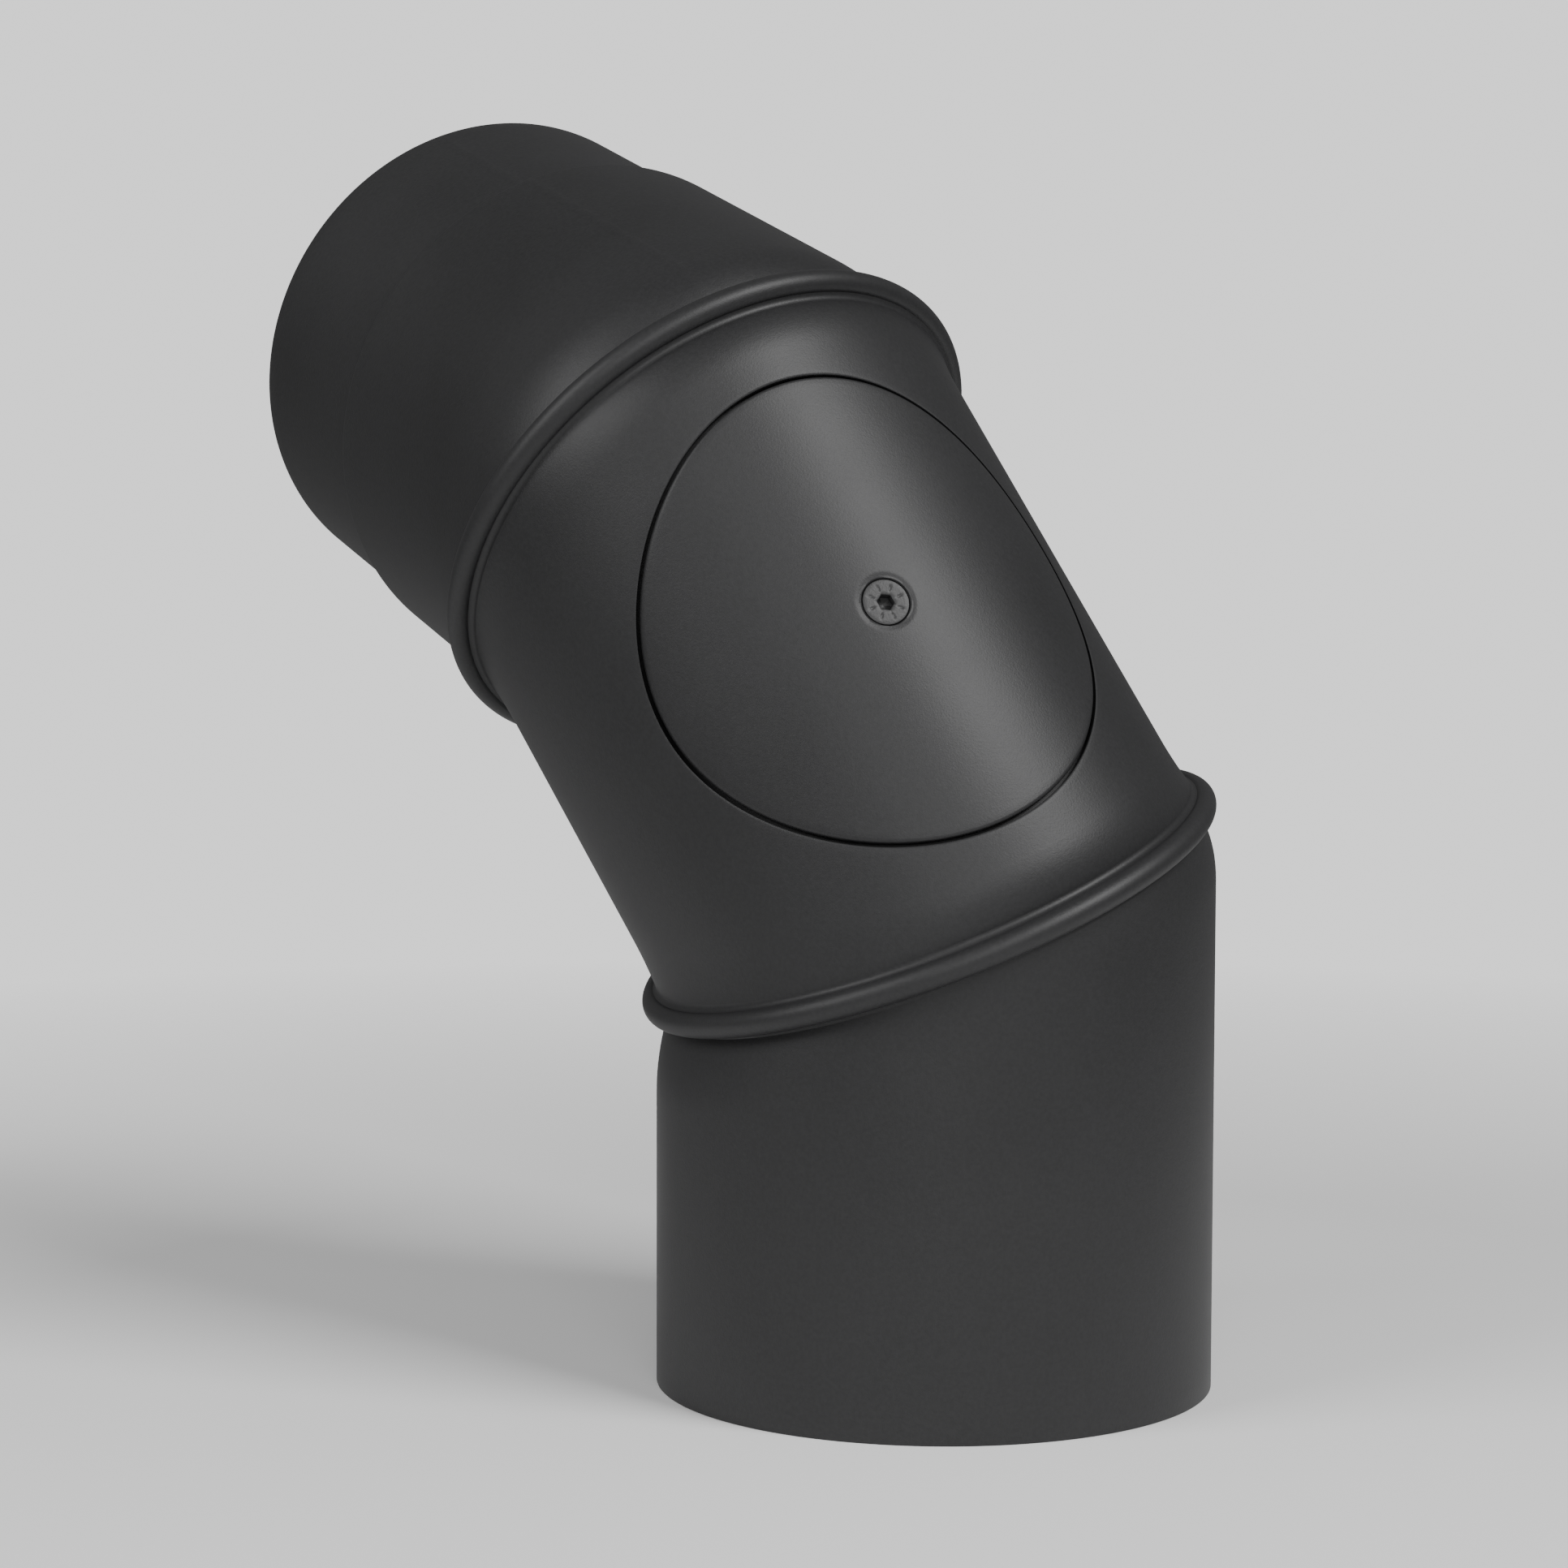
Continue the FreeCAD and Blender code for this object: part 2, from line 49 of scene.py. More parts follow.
# Driving sizes, as the CAD has them.
SHEET = 2.0 * MM
TUBE = MOUNTS["lower_socket"]["dims"]["r_mm"] * MM + SHEET      # outside of the tube
SPIGOT = MOUNTS["upper_spigot"]["dims"]["r_mm"] * MM
NECK = 78.5 * MM                # outside of the round collars
JOINT_OFFSET = 2 * MM           # from a tube's axis to its collar's, towards the toe
NECK_START = 20 * MM            # mitre starts to turn round, from the joint plane
COLLAR = 3 * MM                 # the outer segments' necks are round from here
FLANGE = 81.4 * MM
FLANGE_BACK = 1 * MM            # its sides, from the joint plane
FLANGE_FRONT = 3 * MM
BEAD = 84 * MM                  # outside of the rolled bead
BEAD_BACK = 5.6 * MM            # its sides, from the joint plane
BEAD_FRONT = 1.6 * MM
CHANNEL = BEAD - SHEET          # inside of the bead, where the flange runs
CHANNEL_FRONT = BEAD_FRONT - SHEET
CHANNEL_BACK = SHEET - BEAD_BACK
LIP = NECK + 0.5 * MM           # the bead's mouth, clear of the neighbour's collar
STEP_START = 76.5 * MM          # swaged step, from the upper joint along the tube
STEP_END = 84.5 * MM
UPPER_END = 140.2 * MM
COVER_HEIGHT = 66 * MM          # screw, from the lower joint along the middle tube
COVER_ACROSS = 59.5 * MM        # half-widths of the cover
COVER_ALONG = 65 * MM
COVER_GAP = 1 * MM
HEAD = 6.3 * MM                 # screw head radius
HEAD_TOP = 76.4 * MM            # from the middle tube's axis

# Finer shapes that only the looks have.
BURR = 0.35 * MM                # rounding of a cut rim
FLANGE_EDGE = 0.3 * MM          # rounding of a flange's rim
BEAD_ROLL = 3.6 * MM            # radius of a bead's section
CREASE_START = BEAD_BACK + 1.6 * MM     # where a neck folds into its bead
CREASE_FILLET = 1.8 * MM
COVER_PLAY = (0.3 * MM, 0.15 * MM)      # how far its edge sits off the opening's centre
ROLL_OVER = 0.8 * MM            # width of the cover's rounded edge
DIMPLE_RADIUS = 8.4 * MM        # shallow dip pressed round the screw
DIMPLE_DEPTH = 0.3 * MM
CUP_MOUTH = HEAD + 0.62 * MM    # radius of the cup that the head sits in
COLUMNS = 216                   # facets round a tube
SEAM_REACH = 3.2 * MM           # facets are closer together this near to a weld line
SEAM_HALF = 2.0 * MM            # half-width of a weld line at its foot
SEAM_SLOPE = 1.1 * MM
SEAM_PROUD = 0.16 * MM


# ---- Frames -----------------------------------------------------------------------------

def unit(vector):
    vector = np.array(vector, dtype=float)
    return vector / np.linalg.norm(vector)


class Axis:
    """A right-handed frame: Z along a tube or a joint normal, X towards the tube's heel."""

    def __init__(self, origin, z, x):
        self.o = np.array(origin, dtype=float)
        self.z = unit(z)
        self.x = unit(x - self.z * np.dot(x, self.z))
        self.y = np.cross(self.z, self.x)

    def at(self, x, y, z):
        """World positions of local coordinates, given as numbers or arrays."""
        x, y, z = np.broadcast_arrays(x, y, z)
        return (self.o + x[..., None] * self.x + y[..., None] * self.y
                + z[..., None] * self.z)


class End(Axis):
    """A mitred end: Z is the joint normal, out of the segment; Y is the tube's own Y."""

    def __init__(self, joint, outward, tube):
        super().__init__(joint, outward, tube.x)
        self.y = tube.y
        self.mitre = math.acos(abs(np.dot(self.z, tube.z)))


lower_joint = np.array(JOINTS["lower_swivel"]["pos_m"])
upper_joint = np.array(JOINTS["upper_swivel"]["pos_m"])
lower_normal = unit(JOINTS["lower_swivel"]["axis"])
upper_normal = unit(JOINTS["upper_swivel"]["axis"])
cover_normal = unit(JOINTS["cover_lift"]["axis"])
spigot_way = unit(MOUNTS["upper_spigot"]["axis"])


def crossing(joint, normal, heel):
    """Where a tube's axis meets the plane of a joint, beside the joint's centre."""
    return joint + JOINT_OFFSET * unit(heel - normal * np.dot(heel, normal))


# The heel is the outside of a tube's bend, away from where its joint normal leans.
upper_heel = upper_normal - spigot_way * np.dot(upper_normal, spigot_way)
lower_tube = Axis((0, 0, 0), (0, 0, 1), -lower_normal)
middle_tube = Axis(crossing(lower_joint, lower_normal, cover_normal),
                   lower_normal + upper_normal, cover_normal)
upper_tube = Axis(crossing(upper_joint, upper_normal, upper_heel), spigot_way, upper_heel)
lower_end = End(lower_joint, lower_normal, lower_tube)
middle_low_end = End(lower_joint, -lower_normal, middle_tube)
middle_high_end = End(upper_joint, upper_normal, middle_tube)
upper_end = End(upper_joint, -upper_normal, upper_tube)


# ---- Rows of points round a tube --------------------------------------------------------

def half_turn(angles):
    """The same angles, between minus half a turn and half a turn."""
    return (angles + math.pi) % (2 * math.pi) - math.pi


def columns(seam):
    """Angles round a tube from its heel, closer together at its weld line."""
    angles = np.linspace(-math.pi, math.pi, COLUMNS, endpoint=False)
    near = np.array([-2.4, -1.8, -1.2, -0.6, 0, 0.6, 1.2, 1.8, 2.4]) * MM / TUBE + seam
    away = np.abs(half_turn(angles - seam))
    return np.sort(half_turn(np.concatenate([angles[away > SEAM_REACH / TUBE], near])))


def seam_lift(tube, angles, seam):
    """How far a flat-topped weld line, ground down, moves each column out of the sheet."""
    away = np.abs(half_turn(angles - seam)) * TUBE
    proud = SEAM_PROUD * np.clip((SEAM_HALF - away) / SEAM_SLOPE, 0, 1)
    return tube_row(tube, angles, TUBE + proud, 0) - tube_row(tube, angles, TUBE, 0)


def tube_row(axis, angles, radius, height):
    """Points round an axis, of a tube or of a joint."""
    return axis.at(radius * np.cos(angles), radius * np.sin(angles), height)


def profile_rows(axis, angles, profile):
    """One row for each (radius, height) of a profile."""
    return [tube_row(axis, angles, radius, height) for radius, height in profile]


def neck_row(end, angles, inset, share, finish):
    """One section of a neck: the tube's oval mitre at share 0, the round collar at 1."""
    blend = share * share
    height = -NECK_START + share * (NECK_START - finish)
    round_radius = (NECK - inset) * blend
    long_radius = (TUBE - inset) / math.cos(end.mitre) * (1 - blend) + round_radius
    short_radius = (TUBE - inset) * (1 - blend) + round_radius
    centre = JOINT_OFFSET * (1 - blend) + (height + blend * finish) * math.tan(end.mitre)
    return end.at(centre + long_radius * np.cos(angles), short_radius * np.sin(angles),
                  np.full_like(angles, height))


def neck_rows(end, angles, inset, finish, count=14):
    """Sections from the mitre up to the collar, closer where the neck turns fastest."""
    shares = np.sin(np.linspace(0, math.pi / 2, count + 1)[1:])
    return [neck_row(end, angles, inset, share, finish) for share in shares]


def raised_necks(end, angles, finish, lift):
    """Outside sections of a neck, with the weld line sinking into it."""
    necks = neck_rows(end, angles, 0, finish)
    fade = np.linspace(1, 0.3, len(necks))
    return [row + lift * share for row, share in zip(necks, fade)]


def straight_rows(first, last, count):
    """Rows between two given rows, both included."""
    return [first + (last - first) * step / count for step in range(count + 1)]


def arc(centre, radius, start, stop, count):
    """Profile points on an arc: (radius, height) pairs, angles in degrees."""
    return [(centre[0] + radius * math.cos(math.radians(turn)),
             centre[1] + radius * math.sin(math.radians(turn)))
            for turn in np.linspace(start, stop, count)]


# ---- Meshes -----------------------------------------------------------------------------

def new_object(name, builder, material, body, replaced, sharp=35):
    """A smooth-shaded piece on a body, in place of a CAD node; sharp is in degrees."""
    mesh = bpy.data.meshes.new(name)
    mesh.from_pydata([tuple(point) for point in builder.points], [], builder.faces)
    mesh.validate()
    item = bpy.data.objects.new(name, mesh)
    bpy.context.scene.collection.objects.link(item)
    for polygon in mesh.polygons:
        polygon.use_smooth = True
    mesh.set_sharp_from_angle(angle=math.radians(sharp))
    mesh.materials.append(material)
    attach(item, body)
    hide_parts(replaced)


class Builder:
    """Collects rows of points and the quads between them."""

    def __init__(self):
        self.points = []
        self.faces = []

    def row(self, points):
        start = len(self.points)
        self.points.extend(points)
        return list(range(start, start + len(points)))

    def band(self, lower, upper, skip=()):
        """Quads between two closed rows, leaving out the column numbers in skip."""
        count = len(lower)
        for column in range(count):
            if column in skip:
                continue
            after = (column + 1) % count
            self.faces.append((lower[column], lower[after], upper[after], upper[column]))

    def strips(self, rows, closed=False):
        """Bands through several rows of points, joined back to the first if closed."""
        rings = [self.row(row) for row in rows]
        for lower, upper in zip(rings, rings[1:]):
            self.band(lower, upper)
        if closed:
            self.band(rings[-1], rings[0])
        return rings

    def onward(self, last, rows):
        """Bands from a ring that is already there through more rows; the last ring."""
        for row in rows:
            ring = self.row(row)
            self.band(last, ring)
            last = ring
        return last

    def cap(self, ring, centre, flip=False):
        """Close a ring with a fan of triangles."""
        middle = self.row([centre])[0]
        for first, second in zip(ring, ring[1:] + ring[:1]):
            self.faces.append((second, first, middle) if flip else (first, second, middle))


# ---- Materials --------------------------------------------------------------------------

def shader(name, colour, roughness, metallic=0.0):
    """A new material, its node tree and its Principled shader."""
    material = bpy.data.materials.new(name)
    material.use_nodes = True
    tree = material.node_tree
    surface = tree.nodes["Principled BSDF"]
    surface.inputs["Base Color"].default_value = (*colour, 1)
    surface.inputs["Roughness"].default_value = roughness
    surface.inputs["Metallic"].default_value = metallic
    return material, tree, surface


def noise(tree, coordinates, scale, detail, roughness):
    node = tree.nodes.new("ShaderNodeTexNoise")
    node.inputs["Scale"].default_value = scale
    node.inputs["Detail"].default_value = detail
    node.inputs["Roughness"].default_value = roughness
    tree.links.new(coordinates, node.inputs["Vector"])
    return node.outputs["Fac"]


def object_coordinates(tree):
    return tree.nodes.new("ShaderNodeTexCoord").outputs["Object"]


def spread(tree, source, low, high, start=0.3, stop=0.7):
    """Map a value between start and stop to one between low and high."""
    node = tree.nodes.new("ShaderNodeMapRange")
    node.inputs["From Min"].default_value = start
    node.inputs["From Max"].default_value = stop
    node.inputs["To Min"].default_value = low
    node.inputs["To Max"].default_value = high
    tree.links.new(source, node.inputs["Value"])
    return node.outputs["Result"]


def blend_colours(tree, factor, first, second):
    """The first colour where the factor is 0, the second where it is 1."""
    node = tree.nodes.new("ShaderNodeMix")
    node.data_type = "RGBA"
    node.inputs["A"].default_value = (*first, 1)
    node.inputs["B"].default_value = (*second, 1)
    tree.links.new(factor, node.inputs["Factor"])
    return node.outputs["Result"]


def bump(tree, source, distance, strength, under=None):
    """A normal bent by a height, over an earlier bump if one is given."""
    node = tree.nodes.new("ShaderNodeBump")
    node.inputs["Distance"].default_value = distance
    node.inputs["Strength"].default_value = strength
    tree.links.new(source, node.inputs["Height"])
    if under:
        tree.links.new(under, node.inputs["Normal"])
    return node.outputs["Normal"]


def paint(name, dark, light, roughness):
    """Matte heat-proof paint: a fine sprayed grain over slow cloudy changes of tone."""
    material, tree, surface = shader(name, dark, roughness)
    place = object_coordinates(tree)
    grain = noise(tree, place, scale=1900, detail=3, roughness=0.6)
    clouds = noise(tree, place, scale=14, detail=3, roughness=0.5)
    speckle = noise(tree, place, scale=900, detail=2, roughness=0.5)
    tone = tree.nodes.new("ShaderNodeMath")
    tone.operation = "MULTIPLY_ADD"
    tree.links.new(spread(tree, speckle, 0, 0.45), tone.inputs[0])
    tone.inputs[1].default_value = 1.0
    tree.links.new(spread(tree, clouds, 0.1, 0.55), tone.inputs[2])
    colour = blend_colours(tree, tone.outputs["Value"], dark, light)
    tree.links.new(colour, surface.inputs["Base Color"])
    tree.links.new(spread(tree, clouds, roughness - 0.025, roughness + 0.03),
                   surface.inputs["Roughness"])
    fine = bump(tree, grain, 0.09 * MM, 0.6)
    tree.links.new(bump(tree, speckle, 0.05 * MM, 0.35, fine), surface.inputs["Normal"])
    surface.inputs["Specular IOR Level"].default_value = 0.45
    return material


def steel(name, colour, roughness):
    """Zinc-plated or oxidised steel with faint clouding and rubbing marks."""
    material, tree, surface = shader(name, colour, roughness, 1.0)
    place = object_coordinates(tree)
    clouds = noise(tree, place, scale=120, detail=4, roughness=0.6)
    marks = noise(tree, place, scale=1500, detail=3, roughness=0.6)
    darker = tuple(channel * 0.72 for channel in colour)
    tree.links.new(blend_colours(tree, spread(tree, clouds, 0, 1), darker, colour),
                   surface.inputs["Base Color"])
    tree.links.new(spread(tree, clouds, roughness - 0.08, roughness + 0.1),
                   surface.inputs["Roughness"])
    tree.links.new(bump(tree, marks, 0.03 * MM, 0.5), surface.inputs["Normal"])
    return material


def fibre(name):
    """Pressed ceramic fibre: off-white, dull, with crossing short strands."""
    material, tree, surface = shader(name, (0.55, 0.53, 0.48), 0.95)
    place = object_coordinates(tree)
    wave = tree.nodes.new("ShaderNodeTexWave")
    wave.inputs["Scale"].default_value = 260
    wave.inputs["Distortion"].default_value = 9
    wave.inputs["Detail"].default_value = 3
    tree.links.new(place, wave.inputs["Vector"])
    tufts = noise(tree, place, scale=700, detail=5, roughness=0.7)
    tree.links.new(blend_colours(tree, spread(tree, tufts, 0, 1), (0.42, 0.40, 0.35),
                                 (0.68, 0.66, 0.60)), surface.inputs["Base Color"])
    surface.inputs["Sheen Weight"].default_value = 0.25
    low = bump(tree, tufts, 0.3 * MM, 0.8)
    tree.links.new(bump(tree, wave.outputs["Fac"], 0.15 * MM, 0.6, low),
                   surface.inputs["Normal"])
    return material


charcoal = paint("charcoal_paint", (0.0105, 0.0105, 0.0110), (0.0205, 0.0205, 0.0215), 0.49)
inner_paint = paint("inner_paint", (0.011, 0.011, 0.0115), (0.016, 0.016, 0.0168), 0.56)
screw_paint = paint("screw_paint", (0.018, 0.018, 0.0185), (0.026, 0.026, 0.0268), 0.46)
zinc = steel("zinc_steel", (0.46, 0.46, 0.47), 0.38)
spring_steel = steel("spring_steel", (0.30, 0.30, 0.31), 0.33)
gasket_fibre = fibre("gasket_fibre")


# ---- Outer segments ---------------------------------------------------------------------

HEEL = 0.0                      # where a weld line runs: the angle of a tube's heel or toe
TOE = -math.pi

def flange_rows(end, angles):
    """From a collar's outside, round the flange that runs in the bead, to its inside."""
    edge = FLANGE - FLANGE_EDGE
    fillet = 1 * MM
    fold = 2.6 * MM
    profile = [(NECK, -COLLAR), (NECK, -fillet)]
    profile += arc((NECK + fillet, FLANGE_BACK - fillet), fillet, 180, 90, 5)
    profile += arc((edge, FLANGE_BACK + FLANGE_EDGE), FLANGE_EDGE, -90, 0, 4)
    profile += arc((edge, FLANGE_FRONT - FLANGE_EDGE), FLANGE_EDGE, 0, 90, 4)
    profile += arc((NECK - SHEET + fold, FLANGE_FRONT - fold), fold, 90, 180, 8)
    profile += [(NECK - SHEET, -COLLAR)]
    return profile_rows(end, angles, profile)


def rim_rows(tube, angles, radius, height, way):
    """A cut rim with its burr rounded off, from outside to inside; way is +1 at a top."""
    corner = arc((0, 0), BURR, 0, 90, 4)
    outer, inner = radius - BURR, radius - SHEET + BURR
    profile = [(outer + across, height - way * (BURR - up)) for across, up in corner]
    profile += [(inner - across, height - way * (BURR - up)) for across, up in corner[::-1]]
    return profile_rows(tube, angles, profile)


def make_lower_segment():
    """Bottom rim, straight tube and neck outside; flange; the same again inside."""
    angles = columns(HEEL)
    lift = seam_lift(lower_tube, angles, HEEL)
    foot = rim_rows(lower_tube, angles, TUBE, 0, -1)
    mitre = neck_row(lower_end, angles, 0, 0, COLLAR)
    outside = straight_rows(foot[0], mitre, 24)
    outside = [row + lift * min(1, index / 2) for index, row in enumerate(outside)]
    necks = raised_necks(lower_end, angles, COLLAR, lift)
    inside_necks = neck_rows(lower_end, angles, SHEET, COLLAR)
    inside_mitre = neck_row(lower_end, angles, SHEET, 0, COLLAR)
    inside = straight_rows(inside_mitre, foot[-1], 12)
    rows = (foot[::-1][:-1] + outside + necks[:-1] + flange_rows(lower_end, angles)
            + inside_necks[::-1][1:] + inside[:-1])
    builder = Builder()
    builder.strips(rows, closed=True)
    new_object("lower_tube", builder, charcoal, "lower", "lower_segment")


def smooth(share):
    """A smooth S from 0 to 1."""
    return share * share * (3 - 2 * share)


def make_upper_segment():
    """The upper tube, swaged through a short step down to its spigot."""
    angles = columns(HEEL)
    lift = seam_lift(upper_tube, angles, HEEL)
    mitre = neck_row(upper_end, angles, 0, 0, COLLAR)
    necks = raised_necks(upper_end, angles, COLLAR, lift)
    # The slope takes the middle three fifths of the step.
    shares = np.linspace(0, 1, 25)
    heights = STEP_START + (STEP_END - STEP_START) * shares
    radii = TUBE + (SPIGOT - TUBE) * smooth(np.clip((shares - 0.2) / 0.6, 0, 1))
    outer_step = profile_rows(upper_tube, angles, zip(radii, heights))
    outer_step = [row + lift for row in outer_step]
    inner_step = profile_rows(upper_tube, angles, zip(radii - SHEET, heights))
    rim = rim_rows(upper_tube, angles, SPIGOT, UPPER_END, 1)
    outside = [row + lift for row in straight_rows(mitre, outer_step[0] - lift, 16)]
    spigot = straight_rows(outer_step[-1], rim[0] + lift, 10)
    spigot_inside = straight_rows(rim[-1], inner_step[-1], 6)
    inside_mitre = neck_row(upper_end, angles, SHEET, 0, COLLAR)
    inside = straight_rows(inner_step[0], inside_mitre, 8)
    inside_necks = neck_rows(upper_end, angles, SHEET, COLLAR)
    # From the collar along the outside to the spigot's rim, and back inside to the flange.
    rows = (necks[::-1][1:] + outside + outer_step[1:] + spigot[1:-1] + rim
            + spigot_inside[1:] + inner_step[::-1][1:-1] + inside + inside_necks[:-1]
            + flange_rows(upper_end, angles)[::-1])
    builder = Builder()
    builder.strips(rows, closed=True)
    new_object("upper_tube", builder, charcoal, "upper", "upper_segment")


# ---- Middle segment ---------------------------------------------------------------------

def bead_rows(end, angles):
    """From the neck's outside over the crease and the bead, through the channel, inside."""
    crease = (NECK + CREASE_FILLET, -BEAD_BACK - CREASE_FILLET + 0.3 * MM)
    roll = (BEAD - BEAD_ROLL, (BEAD_FRONT - BEAD_BACK) / 2)
    edge = 0.6 * MM
    corner = 0.4 * MM
    fold = 1 * MM
    profile = arc(crease, CREASE_FILLET, 176, 105, 8)
    profile += arc(roll, BEAD_ROLL, -88, 88, 26)
    profile += arc((LIP + edge, BEAD_FRONT - edge), edge, 90, 180, 5)
    profile += [(LIP, CHANNEL_FRONT + 0.3 * MM), (LIP + 0.3 * MM, CHANNEL_FRONT),
                (CHANNEL - corner, CHANNEL_FRONT), (CHANNEL, CHANNEL_FRONT - corner),
                (CHANNEL, CHANNEL_BACK + corner), (CHANNEL - corner, CHANNEL_BACK)]
    profile += arc((NECK - SHEET + fold, CHANNEL_BACK - fold), fold, 90, 180, 5)
    return profile_rows(end, angles, profile)


def opening_edge(turns, grow, radius):
    """Points round the oval opening, on the tube of the given radius."""
    across = (COVER_ACROSS + COVER_GAP + grow) * np.cos(turns)
    along = (COVER_ALONG + COVER_GAP + grow) * np.sin(turns)
    return middle_tube.at(np.sqrt(radius ** 2 - across ** 2), across, COVER_HEIGHT + along)


def make_middle_segment():
    """A closed skin round the tube, opened by an oval patch of rings over its heel."""
    angles = columns(TOE)
    half_block = math.radians(62)
    block = [index for index, angle in enumerate(angles) if abs(angle) <= half_block]
    builder = Builder()

    def skin(inset, lift):
        low = neck_row(middle_low_end, angles, inset, 0, CREASE_START)
        high = neck_row(middle_high_end, angles, inset, 0, CREASE_START)
        rings = [builder.row(row + lift) for row in straight_rows(low, high, 40)]
        for lower, upper in zip(rings, rings[1:]):
            builder.band(lower, upper, skip=set(block[:-1]))
        return rings

    def patch(rings, radius, edges):
        """Rings from the block's border to the opening's edge, then over its edges."""
        border = [rings[0][index] for index in block]
        border += [ring[block[-1]] for ring in rings[1:-1]]
        border += [rings[-1][index] for index in reversed(block)]
        border += [ring[block[0]] for ring in reversed(rings[1:-1])]
        spots = np.array([builder.points[index] for index in border]) - middle_tube.o
        angle = np.arctan2(spots @ middle_tube.y, spots @ middle_tube.x)
        height = spots @ middle_tube.z - COVER_HEIGHT
        turns = np.arctan2(height / (COVER_ALONG + COVER_GAP),
                           radius * np.sin(angle) / (COVER_ACROSS + COVER_GAP))
        edge = opening_edge(turns, edges[0][0], radius) - middle_tube.o
        edge_angle = np.arctan2(edge @ middle_tube.y, edge @ middle_tube.x)
        edge_height = edge @ middle_tube.z - COVER_HEIGHT
        rows = [tube_row(middle_tube, angle + (edge_angle - angle) * share, radius,
                         COVER_HEIGHT + height + (edge_height - height) * share)
                for share in np.linspace(0, 1, 13)[1:]]
        rows += [opening_edge(turns, grow, radius) - depth * middle_tube.x
                 for grow, depth in edges[1:]]
        return builder.onward(border, rows)

    outer = skin(0, seam_lift(middle_tube, angles, TOE))
    inner = skin(SHEET, 0)
    rounded = [(0.7 * MM, 0), (0.36 * MM, 0.06 * MM), (0.1 * MM, 0.24 * MM), (0, 0.6 * MM)]
    outer_edge = patch(outer, TUBE, rounded)
    inner_edge = patch(inner, TUBE - SHEET, [(0.05 * MM, 0), (0, -0.05 * MM)])
    builder.band(outer_edge, inner_edge)
    for end, index in ((middle_low_end, 0), (middle_high_end, -1)):
        rows = neck_rows(end, angles, 0, CREASE_START)
        rows += bead_rows(end, angles)
        rows += neck_rows(end, angles, SHEET, CREASE_START)[::-1]
        builder.band(builder.onward(outer[index], rows), inner[index])
    new_object("middle_tube", builder, charcoal, "middle",
               "middle_segment")


# ---- Cover, gasket and screw ------------------------------------------------------------

def cover_row(share, turns, radius, dimple, inset, depth=0.0):
    """A ring of the cover between its screw hole (share 0) and its oval edge (share 1)."""
    across = (CUP_MOUTH + (COVER_ACROSS - inset - CUP_MOUTH) * share) * np.cos(turns)
    along = (CUP_MOUTH + (COVER_ALONG - inset - CUP_MOUTH) * share) * np.sin(turns)
    across = across + COVER_PLAY[0] * share
    along = along + COVER_PLAY[1] * share
    away = np.hypot(across, along)
    fall = np.clip((DIMPLE_RADIUS - away) / (DIMPLE_RADIUS - CUP_MOUTH), 0, 1)
    height = np.sqrt(radius ** 2 - across ** 2) - dimple * smooth(fall) - depth
    return middle_tube.at(height, across, COVER_HEIGHT + along)


def cup_row(turns, radius, height):
    """A ring round the screw's axis, at a height over the middle tube's axis."""
    return middle_tube.at(height, radius * np.cos(turns),
                          COVER_HEIGHT + radius * np.sin(turns))


def make_cover():
    """The oval disc of tube, its pressed cup for the screw, and its rounded cut edge."""
    turns = np.linspace(0, 2 * math.pi, 256, endpoint=False)
    shares = np.concatenate([np.linspace(0, 0.14, 16), np.linspace(0.16, 1, 30)])
    rows = [cover_row(share, turns, TUBE, DIMPLE_DEPTH, ROLL_OVER) for share in shares]
    # The edge rolls over from its top to its underside: (inset, depth) in millimetres.
    edge = [(0.45, 0.06), (0.12, 0.22), (-0.12, 0.5), (-0.2, 0.85), (-0.2, 1.7), (0, 1.95)]
    rows += [cover_row(1, turns, TUBE, 0, inset * MM, depth * MM) for inset, depth in edge]
    rows += [cover_row(share, turns, TUBE - SHEET, DIMPLE_DEPTH, 0.4 * MM)
             for share in shares[::-1] if share > 0.05]
    # The cup goes down outside, in to the hole and up its seat: (radius, height) in mm.
    cup = [(8.6, 74.0), (5.2, 71.4), (4.9, 71.15), (3.5, 71.15), (3.15, 71.4), (3.1, 72.6),
           (6.45, 75.85)]
    rows += [cup_row(turns, radius * MM, height * MM) for radius, height in cup]
    base = TUBE - DIMPLE_DEPTH
    rows += [cup_row(turns, HEAD + 0.3 * MM, base - 0.22 * MM),
             cup_row(turns, HEAD + 0.42 * MM, base - 0.06 * MM)]
    builder = Builder()
    builder.strips(rows, closed=True)
    new_object("cover_plate", builder, charcoal, "cover",
               "inspection_cover", sharp=50)


def make_gasket():
    """A soft fibre ring with rounded sides and an uneven surface."""
    turns = np.linspace(0, 2 * math.pi, 360, endpoint=False)
    generator = np.random.default_rng(7)
    outer_inset, width, thickness = 1.2 * MM, 5.1 * MM, 1.2 * MM
    top = TUBE - SHEET - 0.05 * MM
    section = 20
    squareness = 0.55
    rows = []
    for index in range(section):
        turn = 2 * math.pi * index / section
        across_ring = math.copysign(abs(math.cos(turn)) ** squareness, math.cos(turn))
        through = math.copysign(abs(math.sin(turn)) ** squareness, math.sin(turn))
        fuzz = generator.uniform(-0.05, 0.02, len(turns)) * MM
        inset = outer_inset + width * (0.5 - 0.5 * across_ring) + np.abs(fuzz)
        across = (COVER_ACROSS - inset) * np.cos(turns)
        along = (COVER_ALONG - inset) * np.sin(turns)
        depth = thickness * (0.5 - 0.5 * through) - min(0, through) * fuzz
        radius = top - depth
        height = np.sqrt(radius ** 2 - across ** 2)
        rows.append(middle_tube.at(height, across, COVER_HEIGHT + along))
    builder = Builder()
    builder.strips(rows, closed=True)
    new_object("fibre_ring", builder, gasket_fibre, "cover",
               "cover_gasket", sharp=80)


